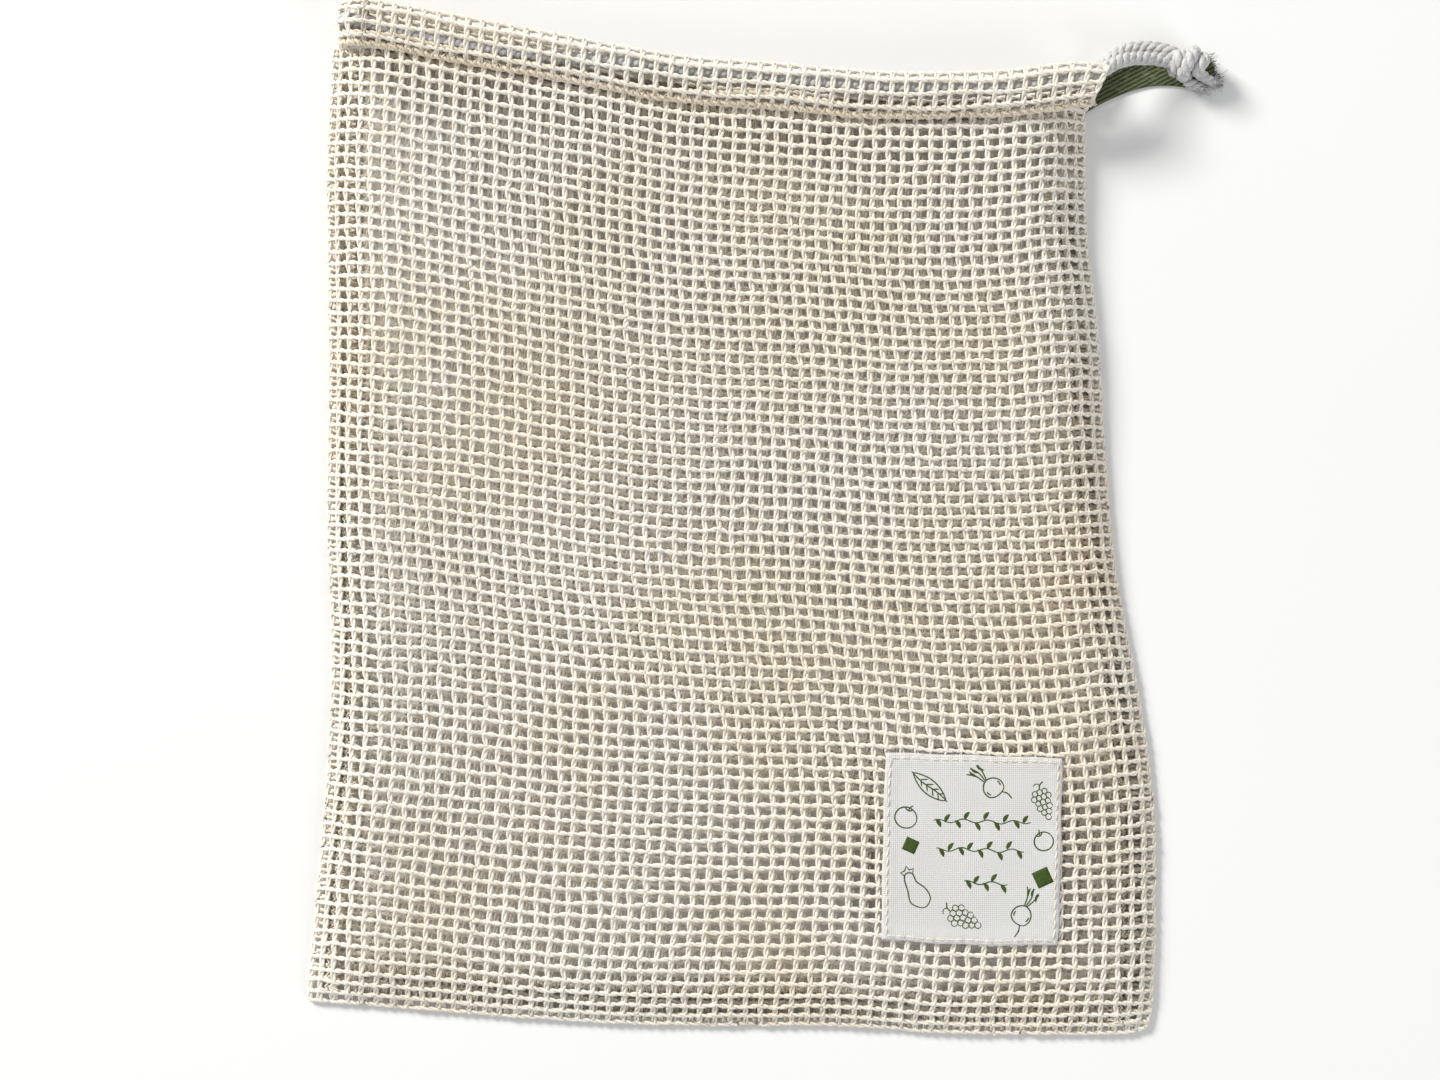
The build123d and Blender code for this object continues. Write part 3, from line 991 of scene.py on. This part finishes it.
def label_patch(steps=131):
    a, b = np.meshgrid(*(np.linspace(-size / 2, size / 2, steps) for size in LABEL_SIZE))
    top = label_point(a, b)
    return slab(top, top - LABEL_THICKNESS * UP)


label = mesh_object("label_patch", [label_patch()], LABEL_CLOTH)


def running_stitches():
    """Short stitches 1.4 mm inside the label's edge; each dives into the cloth at both ends."""
    inset, pitch = 1.4 * MM, 2.9 * MM
    half = np.array(LABEL_SIZE) / 2 - inset
    along = np.linspace(0, 1, 9)
    lift = (0.24 * np.sin(pi * along) ** 0.6 - 0.10) * MM
    tilt = column(0.16 * MM * np.linspace(-1, 1, 9))
    corners = [(-1, -1), (1, -1), (1, 1), (-1, 1)]
    paths = []
    for start, stop in zip(corners, corners[1:] + corners[:1]):
        side = (np.array(stop) - start) * half
        length = np.hypot(*side)
        count = round(length / pitch)
        for k in range(count):
            t = column((k + 0.13 + 0.74 * along) / count)
            path = start * half + side * t + tilt * (side[1], -side[0]) / length
            paths.append(label_point(path[:, 0], path[:, 1], lift))
    return [tubes(paths, UP, 0.22 * MM, 7)]


label_thread = mesh_object("label_edge_stitches", running_stitches(), THREAD)


# ---- the label's print
def closed(points):
    """A smooth closed outline through a few points."""
    points = [*points[-2:], *points, *points[:2]]
    last = len(points) - 1
    return smooth_points(points, np.linspace(2 / last, (last - 1) / last, 60))


def arc(centre, radius, start=0, stop=360, count=40, squash=1.0):
    angle = np.radians(np.linspace(start, stop, count))
    return np.stack([centre[0] + radius * np.cos(angle), centre[1] + squash * radius * np.sin(angle)], -1)


def turned(points, centre, angle):
    """Points turned by an angle in degrees and moved to a centre."""
    c, s = cos(radians(angle)), sin(radians(angle))
    points = np.asarray(points, float)
    return np.stack([points[:, 0] * c - points[:, 1] * s, points[:, 0] * s + points[:, 1] * c], -1) + centre


def printed(points):
    """A path on the label's face through points in millimetres."""
    points = np.asarray(points, float)
    return label_point(points[:, 0] * MM, points[:, 1] * MM, 0.01 * MM)[None]


def stroke(points, width=0.42):
    """A printed line, whose width thins towards both ends."""
    thin = 0.72 + 0.28 * np.sin(pi * np.linspace(0, 1, len(points))) ** 0.5
    return tubes(printed(points), UP, width / 2 * MM * thin, 6, flat=0.35)


def leaf(centre, angle, length, width):
    """A solid leaf: a flat stroke that swells in the middle."""
    x = np.linspace(-0.5, 0.5, 12) * length
    points = turned(np.stack([x, 0.12 * length * np.cos(pi * x / length)], -1), centre, angle)
    swell = np.maximum(np.sin(pi * np.linspace(0, 1, 12)) ** 0.8, 0.05)
    return tubes(printed(points), UP, width / 2 * MM * swell, 8, flat=0.12)


def square(centre, angle, side):
    corner = np.linspace(-0.5, 0.5, 6) * side
    a, b = np.meshgrid(corner, corner)
    flat = turned(np.stack([a.ravel(), b.ravel()], -1), centre, angle).reshape(6, 6, 2) * MM
    top = label_point(flat[..., 0], flat[..., 1], 0.07 * MM)
    return slab(top, top - 0.2 * MM * UP)


def big_leaf():
    """A leaf in outline with its veins."""
    half = 6.4
    x = np.linspace(-half, half, 30)
    edge = 2.1 * np.cos(pi * x / (2 * half)) ** 0.8
    middle = np.stack([x * 1.08, 0.3 * np.sin(x / 2)], -1)
    lines = [np.stack([x, edge], -1), np.stack([x, -edge], -1), middle]
    for k in (-3.4, -1.2, 1.0, 3.2):
        lines.append(np.array([(k, 0), (k + 0.9, 0.8), (k + 1.5, 1.3)]))
        lines.append(np.array([(k, 0), (k + 0.9, -0.8), (k + 1.5, -1.3)]))
    return [stroke(turned(points, (-13.0, 18.2), -38)) for points in lines]


def root(centre, angle, size):
    """A round root with a tail and three leaf stalks."""
    bulb = closed([(3.0, 0), (2.0, 2.3), (-0.4, 3.0), (-2.6, 1.8), (-2.9, -0.9), (-1.2, -2.8), (1.2, -2.3)])
    lines = [bulb, [(2.6, -1.0), (4.2, -1.5), (5.6, -3.0)], [(-2.7, 1.5), (-5.4, 3.2), (-8.2, 3.6)]]
    lines += [[(-2.5, 1.9), (-4.6, 4.2), (-7.2, 5.4)], [(-2.2, 2.2), (-3.6, 4.8), (-5.0, 6.6)]]
    lines += [[(1.0, 2.2), (1.6, 1.7), (2.0, 1.0)], [(-1.9, -1.3), (-1.4, -1.8), (-0.7, -2.1)]]
    parts = []
    for points in lines:
        if len(points) == 3:
            points = smooth_points(points, np.linspace(0, 1, 16))
        parts.append(stroke(turned(np.asarray(points) * size, centre, angle)))
    for place in ((-6.2, 3.9), (-5.8, 5.0), (-4.2, 5.9)):
        tip = turned(np.array([place]) * size, centre, angle)[0]
        parts.append(leaf(tip, angle + 150, 3.0 * size, 0.8 * size))
    return parts


def round_fruit(centre, radius, angle):
    """A round fruit with a dimple and a short stalk."""
    lines = [arc((0, 0), radius, 0, 360, 48, 0.94), arc((0, radius * 1.1), radius * 0.42, 215, 325, 14)]
    lines.append(np.array([(0, radius * 0.7), (0.25, radius * 1.0), (0.8, radius * 1.25)]))
    return [stroke(turned(points, centre, angle)) for points in lines]


def berries(centre, angle, size):
    """A cluster of berries on a stalk: rows of overlapping rings that narrow to a point."""
    parts = []
    for row, count in enumerate((3, 4, 3, 3, 2, 1)):
        for k in range(count):
            place = (row * 1.65 - 3.6, (k - (count - 1) / 2) * 1.62)
            ring = arc(place, 0.86 + 0.06 * ((row + k) % 2), 20 * row, 20 * row + 340, 22)
            parts.append(stroke(turned(ring * size, centre, angle), 0.3))
    stalk = smooth_points([(-4.6, 0.2), (-5.9, 0.8), (-6.6, 2.1)], np.linspace(0, 1, 12))
    parts.append(stroke(turned(stalk * size, centre, angle)))
    parts.append(stroke(turned(arc((-5.6, -0.4), 1.0, 60, 250, 14) * size, centre, angle), 0.3))
    return parts


def gourd(centre, angle):
    """A long fruit, narrow and bent at its neck, with a small cap."""
    right = [(0, -6.0), (2.9, -4.4), (2.9, -1.2), (1.4, 1.6), (1.3, 4.2)]
    left = [(-0.4, 5.0), (-1.6, 3.6), (-2.2, 0.4), (-3.0, -3.4)]
    body = closed(right + left)
    cap = np.array([(1.5, 4.4), (2.2, 5.4), (0.9, 5.6), (0.6, 6.9), (-0.5, 5.9), (-1.7, 6.0), (-1.2, 4.7)])
    return [stroke(turned(points, centre, angle)) for points in (body, cap)]


VINE_WAVE = 7.4


def vine(centre, length, leaves):
    """A row of solid leaves along a waving stem."""
    x = np.linspace(-length / 2, length / 2, 60)
    stem = np.stack([centre[0] + x, centre[1] + 0.5 * np.sin(x * 2 * pi / VINE_WAVE)], -1)
    parts = [stroke(stem, 0.36)]
    for k in range(leaves):
        place = -length / 2 + length * (k + 0.5) / leaves
        up = 1 if k % 2 else -1
        middle = (centre[0] + place, centre[1] + 1.15 * up + 0.5 * np.sin(place * 2 * pi / VINE_WAVE))
        parts.append(leaf(middle, 58 * up, 2.9, 1.25))
    return parts


artwork = big_leaf() + root((6.0, 18.3), 0, 1.0) + berries((21.0, 14.0), -68, 0.92)
artwork += round_fruit((-19.8, 8.8), 3.3, -20) + round_fruit((21.2, 2.6), 2.9, 35)
artwork += gourd((-16.6, -12.0), 28) + berries((-2.0, -20.2), -24, 1.0) + root((15.0, -19.4), -78, 0.98)
artwork += [square((-18.3, 0.6), -22, 4.0), square((21.3, -8.1), 27, 4.9)]
artwork += vine((2.8, 8.2), 29, 10) + vine((2.4, -0.3), 26, 9) + vine((4.4, -9.8), 13, 5)
print_piece = mesh_object("label_print", artwork, INK)

fixed(label, "label_cotton", "label")
fixed(label_thread, "sewing_thread", "label_stitches")
fixed(print_piece, "label_cotton")

# ---- hang tab: a sheet of painted shadow where the drawstring's shadow falls on dark green ground
TAB_WIDTH = 10 * MM
TAB_THICKNESS = 0.8 * MM
TAB_RUN = 0.0455  # the length that its ribs are counted over
RIB_ANGLE, RIB_PITCH = radians(24), 1.05 * MM
TAB_LINE = [(103.4, 126.6, 0.9), (109.5, 130.0, 0.75), (117, 133.2, 0.6), (124.5, 135.1, 0.5)]
TAB_LINE += [(132, 135.3, 0.5), (138.4, 134.6, 0.5), (144.6, 135.0, 0.5)]


def tab():
    """Ribbed tape shaped as painted shadow, following the drawstring's shadow on green ground: its ribs run
    at a slant, and it ends in a worn cut edge.
    """
    count_s, count_w = 200, 44
    t = np.linspace(0, 1, count_s)
    middle = smooth_points(np.array(TAB_LINE) * MM, t)
    forward = unit(np.gradient(middle, axis=0) * (1, 1, 0))
    aside = np.stack([-forward[:, 1], forward[:, 0], np.zeros(count_s)], -1)
    t = t[:, None]
    run = t * TAB_RUN
    w = np.linspace(-0.5, 0.5, count_w)[None] * TAB_WIDTH
    cut = 0.5 * MM * np.sin(w / (1.3 * MM)) + 0.3 * MM * np.sin(w / (0.45 * MM))
    top = middle[:, None] + column(w * (1 - 0.05 * t)) * aside[:, None]
    top = top + column(t**12 * (cut - 3.8 * MM * w / TAB_WIDTH)) * forward[:, None]
    slant = run * sin(RIB_ANGLE) + w * cos(RIB_ANGLE)
    rib = np.abs(np.sin(pi * slant / RIB_PITCH)) ** 0.7
    grain = 0.25 * np.sin(2 * pi * run / (0.8 * MM)) * rib
    edge = np.clip((TAB_WIDTH / 2 - np.abs(w)) / (0.5 * MM), 0, 1) ** 0.5
    height = TAB_THICKNESS / 2 * (0.55 + 0.45 * edge) * (0.7 + 0.3 * rib + 0.12 * grain)
    return slab(top + column(height) * UP, top - column(height * 0.95) * UP)


def tab_fray():
    """Loose green ends at the tape's cut edge, painted shadow of the rope's frayed end."""
    draw = np.random.default_rng(8)
    count = 70
    end = np.array(TAB_LINE[-1]) * MM
    spread = draw.uniform(-0.5, 0.5, (count, 1)) * TAB_WIDTH * np.array([-0.38, 1, 0])
    roots = end + spread - (0.6 * MM, 0, 0)
    headings = unit(np.array([1.0, -0.2, 0.0]) + draw.normal(0, 0.35, (count, 3)) * (1, 1, 0.15))
    return loose_fibres(draw, roots, headings, (0.6, 2.4), 0.5, 6, (0.12 * MM, 0.9 * MM), 0.08 * MM, UP)


# Painted shadow: this green sheet stands where the drawstring's shadow falls on dark green ground.
tape = mesh_object("hang_tab_shadow_sheet", [tab(), tab_fray()], SHADOWED_GREEN_GROUND)


TACK_CENTRE = (106.6, 128.2, 0.95)
TACK_STITCHES, TACK_LENGTH, TACK_REACH = 15, 8.6, 0.95 * MM


def bartack():
    """A short dense bar of stitches across the tape where it enters the seam."""
    middle = np.array(TACK_CENTRE) * MM
    forward = unit(np.array([7.0, 3.6, -0.1]))
    aside = unit(np.array([-3.6, 7.0, 0]))

    def place(t, s):
        along = column((t / TACK_STITCHES - 0.5) * TACK_LENGTH * MM) * aside
        return middle + along + column(TACK_REACH * s) * forward + column(0.25 * MM * (1 - s * s)) * UP

    return [zigzag(place, TACK_STITCHES, 10, 0.24 * MM)]


tack = mesh_object("tab_bar_stitches", bartack(), THREAD)
fixed(tape, "woven_tape", "hang_tab")
fixed(tack, "sewing_thread", "tab_bartack")

# ---- floor
FLOOR_HALF = 3.0
corners = np.array([(-1, -1, 0), (1, -1, 0), (1, 1, 0), (-1, 1, 0)]) * FLOOR_HALF
floor = mesh_object("floor", [(corners, [[0, 1, 2, 3]], [])], FLOOR)
